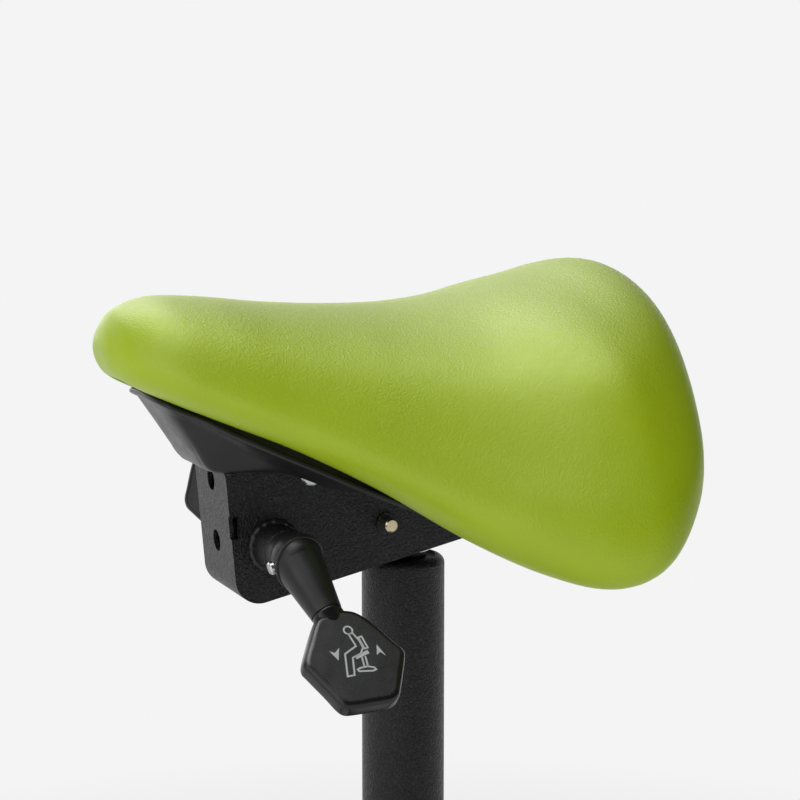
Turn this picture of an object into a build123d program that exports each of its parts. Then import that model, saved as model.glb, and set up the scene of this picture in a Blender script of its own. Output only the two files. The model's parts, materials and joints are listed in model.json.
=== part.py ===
from build123d import *

import os
from math import atan2, cos, degrees, hypot, pi, radians, sin, tan

# Saddle stool on a gas-spring column, in millimetres.
# +X is the sitter's left, +Y the rear, +Z up. The origin is on the floor under the column.

# Clearances
RUN = 0.05
FIXED = 0.02
GAP = 0.3
# How far a cutter reaches past the face it opens, and the break on small turned edges
CUT = 1.0
EDGE = 0.8

# Casters
WHEEL_RADIUS = 25.0
WHEEL_WIDTH = 17.5
WHEEL_DISH = 4.0
WHEEL_CROWN = 3.0
WHEEL_RIM = 4.8
WHEEL_HUB_RADIUS = 8.0
WHEEL_CAP_RADIUS = 6.0
WHEEL_CAP_INSET = 1.0
CASTER_AXLE_RADIUS = 4.0
CASTER_AXLE_ROOM = 1.0
CASTER_TRAIL = 20.0
CASTER_WEB = 15.0
CASTER_WEB_RADIUS = 19.0
WHEEL_SIDE_GAP = 0.8
FENDER_GAP = 1.5
FENDER_WALL = 2.5
FENDER_START = 25.0
FENDER_SWEEP = 140.0
STEM_RADIUS = 5.5
STEM_LENGTH = 23.0
STEM_PIN_RADIUS = 4.5
STEM_PIN_LENGTH = 23.0
STEM_COLLAR_RADIUS = 9.0
STEM_COLLAR = 2.5

# Star base
ARM_COUNT = 5
BASE_RADIUS = 270.0
BASE_TURN_DEG = -90.0
ARM_END_Z = 64.0
ARM_END_HEIGHT = 28.0
ARM_END_RADIUS = 17.0
ARM_ROOT_WIDTH = 46.0
ARM_MID_WIDTH = 37.0
ARM_ROOT_HEIGHT = 52.0
ARM_MID_HEIGHT = 33.0
ARM_MID_RISE = 19.0
ARM_CORNER = 7.0
ARM_CROWN = 2.0
ARM_DRAFT = 2.0
ARM_WALL = 3.5
ARM_RIB = 3.0
ARM_SINK = 8.0
ARM_SOLID_ROOT = 20.0
ARM_OPEN = 12.0
RIB_SETBACK = 4.0
CROSS_RIBS = 3
HUB_LIFT = 6.0
HUB_RADIUS = 36.0
HUB_HEIGHT = 70.0
HUB_FOOT_RADIUS = 33.0
HUB_EDGE = 4.0
HUB_RING_HEIGHT = 9.0
HUB_RING_WALL = 3.0

# Column
TUBE_RADIUS = 25.0
TUBE_WALL = 2.0
TUBE_LENGTH = 306.5
TUBE_TAPER_LENGTH = 70.0
TUBE_TAPER_DEG = 1.43
TUBE_LIP = 5.5
TUBE_FLOOR = 4.0
TUBE_INSET = 2.0
BUSH_LENGTH = 73.0
BUSH_NECK = 4.5
ROD_RADIUS = 5.0
SPINDLE_RADIUS = 4.0
SPINDLE_TAIL = 6.0
BALL_RADIUS = 2.5
BALL_COUNT = 8
BALL_CIRCLE = 8.5
WASHER_RADIUS = 12.0
WASHER_THICKNESS = 3.0
CLIP_THICKNESS = 1.5
CLIP_RADIUS = 8.0
CLIP_GROOVE = 1.0
BUFFER_RADIUS = 11.0
BUFFER_WAIST = 2.0
BUFFER_LENGTH = 26.0
CYLINDER_RADIUS = 14.0
CYLINDER_WALL = 1.8
CONE_LENGTH = 45.0
CONE_DEG = 1.43
SEAL_LENGTH = 20.0
PISTON_LENGTH = 12.0
PISTON_GROOVE = 1.5
PISTON_HEADROOM = 3.0
VALVE_LENGTH = 36.0
PIN_RADIUS = 4.0
PIN_LENGTH = 34.0
SOCKET_RADIUS = 16.5
SOCKET_LENGTH = 33.0

# Mechanism housing, heights counted from its underside at the column
TUBE_GAP = 1.5
CONE_RISE = 44.0
SHEET = 2.5
HOUSING_WIDTH = 58.0
HOUSING_FRONT_Y = -121.0
HOUSING_FRONT_RISE = 60.0
HOUSING_TOE_Y = -114.0
HOUSING_TOE_BEND = 15.0
HOUSING_FLOOR_RISE = 5.3
HOUSING_FLOOR_DEG = 12.6
HOUSING_REAR_Y = 48.0
HOUSING_REAR_RISE = 38.0
HOUSING_TOP_RISE = 66.0
HOUSING_TOP_FRONT = 18.0
HOUSING_TOP_REAR = 20.0
FRONT_HOLE_RADIUS = 6.3
FRONT_HOLE_RISES = (52.0, 16.0)
CORNER_SLOT_WIDTH = 2.5
CORNER_SLOT_LENGTH = 13.0
CORNER_SLOT_RISE = 28.0

# Tilt pivot and its lock
PIVOT_Y = -69.5
PIVOT_RISE = 56.5
PIVOT_RADIUS = 5.0
PIVOT_HEAD_RADIUS = 7.0
PIVOT_HEAD = 2.5
PIVOT_BUSH_WALL = 2.0
PIVOT_BUSH_FLANGE = 2.0
LOCK_Y = -92.3
LOCK_RISE = 16.0
LOCK_RADIUS = 5.0
TILT_FORWARD_DEG = 10.0
TILT_BACK_DEG = 5.0
SLOT_ROOM_DEG = 1.0
EAR_X = 20.0
EAR_SHEET = 3.0
EAR_EDGE = 5.0
EAR_TOP_CORNER = 8.0
EAR_FRONT = 24.0
EAR_REAR = 16.0
SPACER_RADIUS = 8.0
DISC_RADIUS = 11.0
NUT_FLATS = 17.0
NUT_LENGTH = 8.0
NUT_THREAD_TAIL = 3.0

# Levers
BOSS_RADIUS = 13.5
BOSS_BORE_ROOM = 1.0
TILT_BOSS_LENGTH = 23.0
HEIGHT_BOSS_LENGTH = 15.0
ELBOW_RADIUS = 14.5
ELBOW_REACH = 14.0
COLLAR_RADIUS = 13.0
ELBOW_DEG = 45.0
SLEEVE_LENGTH = 38.0
SLEEVE_END_RADIUS = 9.0
TANG_RADIUS = 6.0
TANG_LENGTH = 14.0
NECK_LENGTH = 14.0
NECK_STEP = 0.4
NECK_FLARE = 2.0
PADDLE_LENGTH = 66.0
PADDLE_WIDTH = 60.0
PADDLE_WIDE_AT = 33.0
PADDLE_TIP_WIDTH = 30.0
PADDLE_THICKNESS = 12.0
PADDLE_CORNER = 8.0
PADDLE_EDGE = 3.5
PADDLE_TWIST_DEG = -10.0
PADDLE_TURN_DEG = -6.0
SCREW_HEAD_RADIUS = 3.7
SCREW_HEAD = 3.0
SCREW_SEAT_ROOM = 0.8
SCREW_RADIUS = 2.0
TILT_LEVER_DEG = 16.0
HEIGHT_LEVER_DEG = -90.0
AXLE_Y = -23.0
AXLE_RISE = 24.0
AXLE_RADIUS = 4.0
AXLE_STUB = 9.0
AXLE_CLIP_RADIUS = 6.5
AXLE_CLIP = 1.2
FINGER_WIDTH = 10.0
FINGER_HUB_RADIUS = 6.0
FINGER_RADIUS = 4.0
FINGER_RISE = 31.0
FINGER_BACKSET = 5.0
BUTTON_GAP = 0.5
LIFT_PRESS_DEG = 8.0

# Seat
SEAT_LENGTH = 333.0
SEAT_WIDTH = 368.0
SEAT_NOSE_Y = -186.0
SEAT_RISE = 151.0
SEAT_CANTLE_RISE = 23.0
SEAT_DROP = 149.0
SEAT_ROLL = 16.0
SEAT_ROLL_SHARE = 0.32
SEAT_ROLL_WIDTH = 1.6
SEAT_ARCH = 1.15
SHOULDER_DEG = 42.0
FLANK_DEG = 66.0
BED_SHARE = 0.4
BOARD_THICKNESS = 12.0
BOARD_EDGE = 7.0
BOARD_REACH = 0.45
BOARD_BED = 2.0
PLATE_RISE = 77.0
PLATE_THICKNESS = 3.0
PLATE_WIDTH = 80.0
PLATE_FRONT_Y = -112.0
PLATE_REAR_Y = 60.0
PLATE_CORNER = 10.0
BOLT_RADIUS = 4.0
BOLT_HEAD_RADIUS = 6.5
BOLT_HEAD = 5.0
BOLT_GRIP = 9.0
BOLT_X = 33.0
BOLT_YS = (-97.0, 45.0)
PAN_WALL = 2.5
PAN_LIP = 4.0
PAN_LIP_INSET = 14.0
PAN_LIP_GAP = 2.2
PAN_FLOOR_RISE = 60.5
PAN_FRONT_RISE = 107.0
PAN_REAR_RISE = 88.0
PAN_HOLE_ROOM = 3.0
PAN_HOLE_FRONT_ROOM = 2.5
PAN_HOLE_REAR_ROOM = 8.0
PAN_BOSS_RADIUS = 6.0
PAN_BOSS_X = 50.0
PAN_BOSS_YS = (0.0, 72.0)
PAN_SCREW_RADIUS = 2.5
PAN_SCREW_HEAD_RADIUS = 5.0
PAN_SCREW_HEAD = 2.5
PAN_SCREW_GRIP = 8.0

# Shape of the saddle, front to rear. Each row gives a share of the seat's length, of its half width,
# of the cantle's rise above the ridge's dip, and of the wings' drop below that dip.
STATIONS = [
    (0.003, 0.065, -0.56, 0.155),
    (0.012, 0.12, -0.28, 0.21),
    (0.036, 0.207, 0.07, 0.262),
    (0.093, 0.304, 0.33, 0.325),
    (0.183, 0.386, 0.28, 0.41),
    (0.288, 0.467, 0.11, 0.51),
    (0.408, 0.582, 0.0, 0.65),
    (0.53, 0.734, 0.0, 0.825),
    (0.634, 0.87, 0.17, 0.95),
    (0.724, 0.967, 0.46, 1.0),
    (0.8, 1.0, 0.72, 0.94),
    (0.874, 0.913, 1.0, 0.77),
    (0.925, 0.766, 0.96, 0.605),
    (0.967, 0.527, 0.52, 0.435),
    (0.988, 0.299, -0.13, 0.28),
    (0.997, 0.12, -0.61, 0.2),
]
PAN_FIRST, PAN_TOE, PAN_HEEL, PAN_LAST = 2, 4, 11, 13
# Half width of the pan's floor at each of its stations, as a share of the seat's half width there
PAN_FLOOR_SHARES = (0.36, 0.45, 0.49, 0.5, 0.49, 0.46, 0.43, 0.42, 0.42, 0.42, 0.42, 0.42)
BOARD_FIRST, BOARD_LAST = 3, 11

# Places worked out from the sizes above
hub_z = ARM_END_Z + HUB_LIFT
tube_z = hub_z + TUBE_INSET
tube_top = tube_z + TUBE_LENGTH
mech_z = tube_top + TUBE_GAP
floor_z = tube_z + TUBE_FLOOR
washer_z = floor_z + 2 * BALL_RADIUS
shoulder_z = washer_z + WASHER_THICKNESS
cylinder_z = shoulder_z + BUFFER_LENGTH
cone_top = mech_z + CONE_RISE
chamber_top = cone_top - VALVE_LENGTH
cylinder_bore = CYLINDER_RADIUS - CYLINDER_WALL
half_housing = HOUSING_WIDTH / 2
pivot = (PIVOT_Y, mech_z + PIVOT_RISE)
lock = (LOCK_Y, mech_z + LOCK_RISE)
axle = (AXLE_Y, mech_z + AXLE_RISE)
finger_z = axle[1] + FINGER_RISE
pin_top = finger_z - FINGER_RADIUS - BUTTON_GAP
pin_travel = -AXLE_Y * radians(LIFT_PRESS_DEG)
plate_z = mech_z + PLATE_RISE
plate_top = plate_z + PLATE_THICKNESS
pan_floor_z = mech_z + PAN_FLOOR_RISE
ear_out = EAR_X + EAR_SHEET
tilt_elbow_x = half_housing + TILT_BOSS_LENGTH + ELBOW_REACH
height_elbow_x = half_housing + HEIGHT_BOSS_LENGTH + ELBOW_REACH
stem_top = ARM_END_Z + STEM_LENGTH
stem_foot = ARM_END_Z - STEM_COLLAR
hood_top = stem_foot - GAP


# Shared helpers

def rod_z(radius, low, high):
    return Pos(0, 0, (low + high) / 2) * Cylinder(radius, high - low)


def ring_z(outer, inner, low, high):
    return rod_z(outer, low, high) - rod_z(inner, low, high)


def rod_x(radius, low, high, place=(0, 0)):
    return Pos((low + high) / 2, place[0], place[1]) * Rot(0, 90, 0) * Cylinder(radius, high - low)


def ring_x(outer, inner, low, high, place=(0, 0)):
    return rod_x(outer, low, high, place) - rod_x(inner, low, high, place)


def side_plate(face, low, high):
    """A flat piece whose outline is drawn in the side view, standing from low to high along X."""
    return Pos(low, 0, 0) * extrude(Plane.YZ * face, amount=high - low, dir=(1, 0, 0))


def spun(points):
    """A solid of revolution about the column's axis from radius and height points."""
    return revolve(Plane.XZ * make_face(Polyline(*points, close=True)), Axis.Z)


def mirrored_pair(solid):
    return solid + mirror(solid, Plane.YZ)


def both_sides(solid):
    return Compound(children=[solid, mirror(solid, Plane.YZ)])


def polar(centre, radius, angle):
    return (centre[0] + radius * cos(radians(angle)), centre[1] + radius * sin(radians(angle)))


# Star base

def arm_section(x, width, low, high, inset=0.0):
    """Crowned cross-section of an arm, with drafted sides and rounded shoulders."""
    half = width / 2 - inset
    top = high - inset
    shoulder = half - ARM_DRAFT
    corner = ARM_CORNER - inset
    bend = corner * (1 - sin(pi / 4))
    edges = [
        Line((-half, low), (half, low)),
        Line((half, low), (shoulder, top - ARM_CROWN - corner)),
        ThreePointArc(
            (shoulder, top - ARM_CROWN - corner),
            (shoulder - bend, top - ARM_CROWN - bend),
            (shoulder - corner, top - ARM_CROWN),
        ),
        ThreePointArc((shoulder - corner, top - ARM_CROWN), (0, top), (corner - shoulder, top - ARM_CROWN)),
        ThreePointArc(
            (corner - shoulder, top - ARM_CROWN),
            (bend - shoulder, top - ARM_CROWN - bend),
            (-shoulder, top - ARM_CROWN - corner),
        ),
        Line((-shoulder, top - ARM_CROWN - corner), (-half, low)),
    ]
    return Plane.YZ.offset(x) * make_face(edges)


def arm_loft(inset, first, last, drop):
    """The arm's outside, or its hollow when moved in by the wall and opened downwards by drop."""
    root_x = HUB_RADIUS - ARM_SINK
    mid_x = (root_x + BASE_RADIUS) / 2
    root_low = hub_z + HUB_RING_HEIGHT
    mid_low = ARM_END_Z + ARM_MID_RISE
    end_low = ARM_END_Z
    stations = [
        (root_x + first, ARM_ROOT_WIDTH, root_low, root_low + ARM_ROOT_HEIGHT),
        (mid_x, ARM_MID_WIDTH, mid_low, mid_low + ARM_MID_HEIGHT),
        (BASE_RADIUS - last, 2 * ARM_END_RADIUS, end_low, end_low + ARM_END_HEIGHT),
    ]
    sections = [arm_section(x, width, low - drop, high, inset) for x, width, low, high in stations]
    return loft(sections)


def base_arm():
    outside = arm_loft(0, 0, 0, 0)
    hollow = arm_loft(ARM_WALL, ARM_SOLID_ROOT, ARM_END_RADIUS, ARM_OPEN)
    length = BASE_RADIUS - HUB_RADIUS
    ribs = Pos(HUB_RADIUS + length / 2, 0, tube_top / 2) * Box(length, ARM_RIB, tube_top)
    for index in range(CROSS_RIBS):
        rib_x = HUB_RADIUS + length * (index + 1) / (CROSS_RIBS + 1)
        ribs += Pos(rib_x, 0, tube_top / 2) * Box(ARM_RIB, ARM_ROOT_WIDTH, tube_top)
    ribs = ribs & (Pos(0, 0, RIB_SETBACK) * outside) & outside
    boss = Pos(BASE_RADIUS, 0, ARM_END_Z) * Cylinder(
        ARM_END_RADIUS, ARM_END_HEIGHT, align=(Align.CENTER, Align.CENTER, Align.MIN)
    )
    boss = fillet(boss.faces().sort_by(Axis.Z)[-1].edges(), HUB_EDGE)
    return outside - hollow + ribs + boss


def arm_turns():
    return [Rot(0, 0, BASE_TURN_DEG + index * 360 / ARM_COUNT) for index in range(ARM_COUNT)]


def stem_places():
    return [turn * Pos(BASE_RADIUS, 0, 0) for turn in arm_turns()]


def tube_taper(height):
    """Radius of the tube's outside at a height."""
    below = max(tube_z + TUBE_TAPER_LENGTH - height, 0)
    return TUBE_RADIUS - below * tan(radians(TUBE_TAPER_DEG))


def star_base():
    hub_top = hub_z + HUB_HEIGHT
    ring_top = hub_z + HUB_RING_HEIGHT
    hub = spun([(0, hub_z), (HUB_FOOT_RADIUS, hub_z), (HUB_FOOT_RADIUS, ring_top),
                (HUB_RADIUS, ring_top), (HUB_RADIUS, hub_top), (0, hub_top)])
    hub = fillet(hub.faces().sort_by(Axis.Z)[-1].edges(), HUB_EDGE)
    arm = base_arm()
    body = hub
    for turn in arm_turns():
        body += turn * arm
    low_bore, high_bore = tube_taper(hub_z) + FIXED, tube_taper(hub_top) + FIXED
    body -= spun([(0, hub_z - CUT), (low_bore, hub_z - CUT), (low_bore, hub_z), (high_bore, hub_top),
                  (high_bore, hub_top + CUT), (0, hub_top + CUT)])
    for place in stem_places():
        body -= place * rod_z(STEM_RADIUS + FIXED, ARM_END_Z - CUT, stem_top + GAP)
    return body


def hub_ring():
    inner = HUB_FOOT_RADIUS + FIXED
    return ring_z(HUB_FOOT_RADIUS + HUB_RING_WALL, inner, hub_z, hub_z + HUB_RING_HEIGHT - GAP)


# Casters, drawn with the stem on the Z axis and the axle behind it along X

def caster_stem():
    grip = rod_z(STEM_RADIUS, ARM_END_Z, stem_top)
    grip = chamfer(grip.faces().sort_by(Axis.Z)[-1].edges(), EDGE)
    collar = rod_z(STEM_COLLAR_RADIUS, stem_foot, ARM_END_Z)
    return grip + collar + rod_z(STEM_PIN_RADIUS, stem_foot - STEM_PIN_LENGTH, stem_foot)


def caster_hood():
    axle_at = (CASTER_TRAIL, WHEEL_RADIUS)
    half_web = CASTER_WEB / 2
    half_width = half_web + WHEEL_SIDE_GAP + WHEEL_WIDTH
    socket_low = stem_foot - STEM_PIN_LENGTH - 2 * GAP
    socket_radius = half_web
    web = side_plate(Pos(*axle_at) * Circle(CASTER_WEB_RADIUS), -half_web, half_web)
    neck = make_hull(
        (Pos(*axle_at) * Circle(CASTER_WEB_RADIUS)).edges()
        + (Pos(0, socket_low + socket_radius) * Circle(socket_radius)).edges()
    )
    web += side_plate(neck, -half_web, half_web)
    web += rod_z(socket_radius, socket_low, hood_top)
    inner = WHEEL_RADIUS + FENDER_GAP
    outer = inner + FENDER_WALL
    band = Circle(outer) - Circle(inner)
    window = Polygon(
        (0, 0),
        polar((0, 0), 2 * outer, FENDER_START),
        polar((0, 0), 3 * outer, FENDER_START + FENDER_SWEEP / 2),
        polar((0, 0), 2 * outer, FENDER_START + FENDER_SWEEP),
        align=None,
    )
    fender = side_plate(Pos(*axle_at) * (band & window), -half_width, half_width)
    bridge = side_plate(Pos(*axle_at) * (Circle(outer) & window), -half_web, half_web)
    hood = web + fender + bridge
    hood -= rod_z(STEM_PIN_RADIUS + RUN, socket_low + GAP, hood_top + CUT)
    hood -= rod_x(CASTER_AXLE_RADIUS + FIXED, -half_web - CUT, half_web + CUT, axle_at)
    return hood


def caster_axle():
    half = CASTER_WEB / 2 + WHEEL_SIDE_GAP + WHEEL_WIDTH - WHEEL_DISH - CASTER_AXLE_ROOM
    return rod_x(CASTER_AXLE_RADIUS, -half, half, (CASTER_TRAIL, WHEEL_RADIUS))


def caster_wheel():
    """One wheel of the pair, on the +X side, turned about its axle."""
    start = CASTER_WEB / 2 + WHEEL_SIDE_GAP
    end = start + WHEEL_WIDTH
    cap = end - WHEEL_CAP_INSET
    rim = WHEEL_RADIUS - WHEEL_RIM
    bore = CASTER_AXLE_RADIUS + RUN
    bend = WHEEL_CROWN * (1 - sin(pi / 4))
    outline = [
        Line((start, bore), (start, WHEEL_RADIUS - WHEEL_CROWN)),
        ThreePointArc((start, WHEEL_RADIUS - WHEEL_CROWN), (start + bend, WHEEL_RADIUS - bend),
                      (start + WHEEL_CROWN, WHEEL_RADIUS)),
        Line((start + WHEEL_CROWN, WHEEL_RADIUS), (end - WHEEL_CROWN, WHEEL_RADIUS)),
        ThreePointArc((end - WHEEL_CROWN, WHEEL_RADIUS), (end - bend, WHEEL_RADIUS - bend),
                      (end, WHEEL_RADIUS - WHEEL_CROWN)),
        Line((end, WHEEL_RADIUS - WHEEL_CROWN), (end, rim)),
        Line((end, rim), (end - WHEEL_DISH, rim - WHEEL_DISH)),
        Line((end - WHEEL_DISH, rim - WHEEL_DISH), (end - WHEEL_DISH, WHEEL_HUB_RADIUS)),
        Line((end - WHEEL_DISH, WHEEL_HUB_RADIUS), (cap, WHEEL_CAP_RADIUS)),
        Line((cap, WHEEL_CAP_RADIUS), (cap, 0)),
        Line((cap, 0), (end - WHEEL_DISH, 0)),
        Line((end - WHEEL_DISH, 0), (end - WHEEL_DISH, bore)),
        Line((end - WHEEL_DISH, bore), (start, bore)),
    ]
    wheel = revolve(make_face(outline), Axis.X)
    return Pos(0, CASTER_TRAIL, WHEEL_RADIUS) * wheel


# Column

def column_tube():
    lip_bend = TUBE_LIP * (1 - sin(pi / 4))
    inner = TUBE_RADIUS - TUBE_WALL
    inner_lip = TUBE_LIP - TUBE_WALL
    inner_bend = inner_lip * (1 - sin(pi / 4))
    low = tube_taper(tube_z)
    taper_top = tube_z + TUBE_TAPER_LENGTH
    shoulder = tube_top - TUBE_LIP
    lip_x = TUBE_RADIUS - TUBE_LIP
    hole = SPINDLE_RADIUS + RUN
    outline = [
        Line((hole, tube_z), (low, tube_z)),
        Line((low, tube_z), (TUBE_RADIUS, taper_top)),
        Line((TUBE_RADIUS, taper_top), (TUBE_RADIUS, shoulder)),
        ThreePointArc((TUBE_RADIUS, shoulder), (TUBE_RADIUS - lip_bend, tube_top - lip_bend),
                      (lip_x, tube_top)),
        Line((lip_x, tube_top), (lip_x, tube_top - TUBE_WALL)),
        ThreePointArc((lip_x, tube_top - TUBE_WALL), (inner - inner_bend, tube_top - TUBE_WALL - inner_bend),
                      (inner, shoulder)),
        Line((inner, shoulder), (inner, taper_top)),
        Line((inner, taper_top), (low - TUBE_WALL, floor_z)),
        Line((low - TUBE_WALL, floor_z), (hole, floor_z)),
        Line((hole, floor_z), (hole, tube_z)),
    ]
    return revolve(Plane.XZ * make_face(outline), Axis.Z)


def guide_bush():
    top = tube_top - TUBE_LIP - FIXED
    bush = rod_z(TUBE_RADIUS - TUBE_WALL - FIXED, top - BUSH_LENGTH, top)
    bush += rod_z(TUBE_RADIUS - TUBE_LIP - FIXED, top, top + BUSH_NECK)
    return bush - rod_z(CYLINDER_RADIUS + RUN, top - BUSH_LENGTH - CUT, top + BUSH_NECK + CUT)


def bearing_balls():
    step = 360 / BALL_COUNT
    ball_z = floor_z + BALL_RADIUS
    return Compound(children=[
        Rot(0, 0, step * index) * Pos(BALL_CIRCLE, 0, ball_z) * Sphere(BALL_RADIUS - RUN)
        for index in range(BALL_COUNT)
    ])


def piston_rod():
    tail = tube_z - SPINDLE_TAIL
    rod_top = chamber_top - PISTON_HEADROOM
    rod = rod_z(SPINDLE_RADIUS, tail, shoulder_z) + rod_z(ROD_RADIUS, shoulder_z, rod_top)
    groove_radius = SPINDLE_RADIUS - CLIP_GROOVE
    groove = ring_z(SPINDLE_RADIUS + CUT, groove_radius, tube_z - GAP - CLIP_THICKNESS, tube_z - GAP)
    return rod - groove


def rod_clip():
    low = tube_z - GAP - CLIP_THICKNESS
    clip = ring_z(CLIP_RADIUS, SPINDLE_RADIUS - CLIP_GROOVE + FIXED, low + FIXED, tube_z - GAP - FIXED)
    return clip - Pos(CLIP_RADIUS, 0, low) * Box(2 * CLIP_RADIUS, SPINDLE_RADIUS, 4 * CLIP_THICKNESS)


def upper_washer():
    return ring_z(WASHER_RADIUS, SPINDLE_RADIUS + FIXED, washer_z, shoulder_z)


def buffer():
    waist = BUFFER_RADIUS - BUFFER_WAIST
    low, high = shoulder_z, cylinder_z - GAP
    middle = (low + high) / 2
    bore = ROD_RADIUS + FIXED
    return spun([(bore, low), (BUFFER_RADIUS, low), (waist, middle), (BUFFER_RADIUS, high), (bore, high)])


def piston():
    high = chamber_top - PISTON_HEADROOM
    low = high - PISTON_LENGTH
    outside = cylinder_bore - RUN
    groove_low, groove_high = (low + high) / 2 - PISTON_GROOVE, (low + high) / 2 + PISTON_GROOVE
    groove_x = outside - PISTON_GROOVE
    bore = ROD_RADIUS + FIXED
    return spun([(bore, low), (outside, low), (outside, groove_low), (groove_x, groove_low),
                 (groove_x, groove_high), (outside, groove_high), (outside, high), (bore, high)])


def cone_radius(height):
    above = max(height - (cone_top - CONE_LENGTH), 0)
    return CYLINDER_RADIUS - above * tan(radians(CONE_DEG))


def gas_cylinder():
    pin_low = pin_top - PIN_LENGTH - pin_travel - GAP
    pin_bore = PIN_RADIUS + RUN
    return spun([
        (cylinder_bore, cylinder_z), (CYLINDER_RADIUS, cylinder_z), (CYLINDER_RADIUS, cone_top - CONE_LENGTH),
        (cone_radius(cone_top), cone_top), (pin_bore, cone_top), (pin_bore, pin_low), (0, pin_low),
        (0, chamber_top), (cylinder_bore, chamber_top),
    ])


def cylinder_seal():
    return ring_z(cylinder_bore - FIXED, ROD_RADIUS + RUN, cylinder_z, cylinder_z + SEAL_LENGTH)


def release_pin():
    pin = rod_z(PIN_RADIUS, pin_top - PIN_LENGTH, pin_top)
    return chamfer(pin.faces().sort_by(Axis.Z)[-1].edges(), EDGE)


def housing_floor(y):
    """Height of the housing's underside at a distance behind the column."""
    return mech_z + HOUSING_FLOOR_RISE + y * tan(radians(HOUSING_FLOOR_DEG))


def cone_socket():
    low = housing_floor(-SOCKET_RADIUS) + GAP
    high = low + SOCKET_LENGTH
    return spun([(cone_radius(low) + FIXED, low), (SOCKET_RADIUS, low), (SOCKET_RADIUS, high),
                 (cone_radius(high) + FIXED, high)])


# Mechanism

def housing_outline():
    """Side view of the folded housing, with its large front bend."""
    toe = (HOUSING_TOE_Y, housing_floor(HOUSING_TOE_Y))
    rear_low = (HOUSING_REAR_Y, housing_floor(HOUSING_REAR_Y))
    rear_high = (HOUSING_REAR_Y, mech_z + HOUSING_REAR_RISE)
    top_z = mech_z + HOUSING_TOP_RISE
    points = [
        (HOUSING_FRONT_Y, mech_z + HOUSING_FRONT_RISE), toe, rear_low, rear_high,
        (PIVOT_Y + HOUSING_TOP_REAR, top_z), (PIVOT_Y - HOUSING_TOP_FRONT, top_z),
    ]
    outline = Polygon(*points, align=None)
    nearest = outline.vertices().sort_by_distance((toe[0], toe[1], 0))[0]
    return fillet(nearest, HOUSING_TOE_BEND)


def mechanism_housing():
    outline = housing_outline()
    inside = offset(outline, amount=-SHEET)
    inside = inside + Pos(0, 2 * SHEET) * inside
    inner_half = half_housing - SHEET
    body = side_plate(outline, -half_housing, half_housing) - side_plate(inside, -inner_half, inner_half)
    through = half_housing + CUT
    body -= rod_x(PIVOT_RADIUS + FIXED, -through, through, pivot)
    body -= rod_x(LOCK_RADIUS + RUN, -through, through, lock)
    body -= rod_x(AXLE_RADIUS + RUN, -through, through, axle)
    body -= rod_z(SOCKET_RADIUS + FIXED, mech_z - TUBE_LIP, mech_z + CONE_RISE / 2)
    for rise in FRONT_HOLE_RISES:
        hole = Rot(90, 0, 0) * Cylinder(FRONT_HOLE_RADIUS, 8 * SHEET)
        body -= Pos(0, HOUSING_FRONT_Y + SHEET, mech_z + rise) * hole
    slot_x = half_housing - CORNER_SLOT_WIDTH / 2
    body -= Pos(slot_x, HOUSING_FRONT_Y + SHEET, mech_z + CORNER_SLOT_RISE) * Box(
        CORNER_SLOT_WIDTH, 4 * SHEET, CORNER_SLOT_LENGTH
    )
    return body


def pivot_pin():
    end = half_housing + FIXED
    pin = rod_x(PIVOT_RADIUS, -end, end, pivot)
    head = rod_x(PIVOT_HEAD_RADIUS, end, end + PIVOT_HEAD, pivot)
    head = chamfer(head.faces().sort_by(Axis.X)[-1].edges(), EDGE)
    return pin + mirrored_pair(head)


def pivot_bushes():
    bush_radius = PIVOT_RADIUS + PIVOT_BUSH_WALL
    bore = PIVOT_RADIUS + RUN
    bush = ring_x(bush_radius, bore, EAR_X, ear_out, pivot)
    bush += ring_x(bush_radius + PIVOT_BUSH_FLANGE, bore, ear_out, ear_out + PIVOT_BUSH_FLANGE, pivot)
    return both_sides(bush)


def lock_angles():
    """Directions from the pivot to the two ends of the tilt slot."""
    middle = degrees(atan2(lock[1] - pivot[1], lock[0] - pivot[0]))
    return middle - TILT_FORWARD_DEG - SLOT_ROOM_DEG, middle + TILT_BACK_DEG + SLOT_ROOM_DEG


def ear_face():
    """Side view of one of the seat bracket's ears, with its tilt slot."""
    reach = hypot(lock[0] - pivot[0], lock[1] - pivot[1])
    first, last = lock_angles()
    slot_half = LOCK_RADIUS + GAP
    end_radius = slot_half + EAR_EDGE
    pivot_hole = PIVOT_RADIUS + PIVOT_BUSH_WALL + FIXED
    top = plate_z + PLATE_THICKNESS / 2 - EAR_TOP_CORNER
    rounds = [
        (pivot, pivot_hole + EAR_EDGE),
        (polar(pivot, reach, first), end_radius),
        (polar(pivot, reach, last), end_radius),
        ((PIVOT_Y - EAR_FRONT, top), EAR_TOP_CORNER),
        ((PIVOT_Y + EAR_REAR, top), EAR_TOP_CORNER),
    ]
    edges = [edge for centre, radius in rounds for edge in (Pos(*centre) * Circle(radius)).edges()]
    slot = SlotArc(CenterArc(pivot, reach, first, last - first), 2 * slot_half)
    return make_hull(edges) - slot - Pos(*pivot) * Circle(pivot_hole)


def bolt_places():
    return [(side * BOLT_X, y) for side in (1, -1) for y in BOLT_YS]


def seat_bracket():
    length = PLATE_REAR_Y - PLATE_FRONT_Y
    outline = RectangleRounded(PLATE_WIDTH, length, PLATE_CORNER)
    for x, y in bolt_places():
        outline -= Pos(x, y - (PLATE_FRONT_Y + length / 2)) * Circle(BOLT_RADIUS + GAP)
    plate = Pos(0, PLATE_FRONT_Y + length / 2, plate_z) * extrude(outline, amount=PLATE_THICKNESS)
    return plate + mirrored_pair(side_plate(ear_face(), EAR_X, ear_out))


def clamp_spacer():
    return ring_x(SPACER_RADIUS, LOCK_RADIUS + RUN, RUN - EAR_X, EAR_X - RUN, lock)


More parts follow.
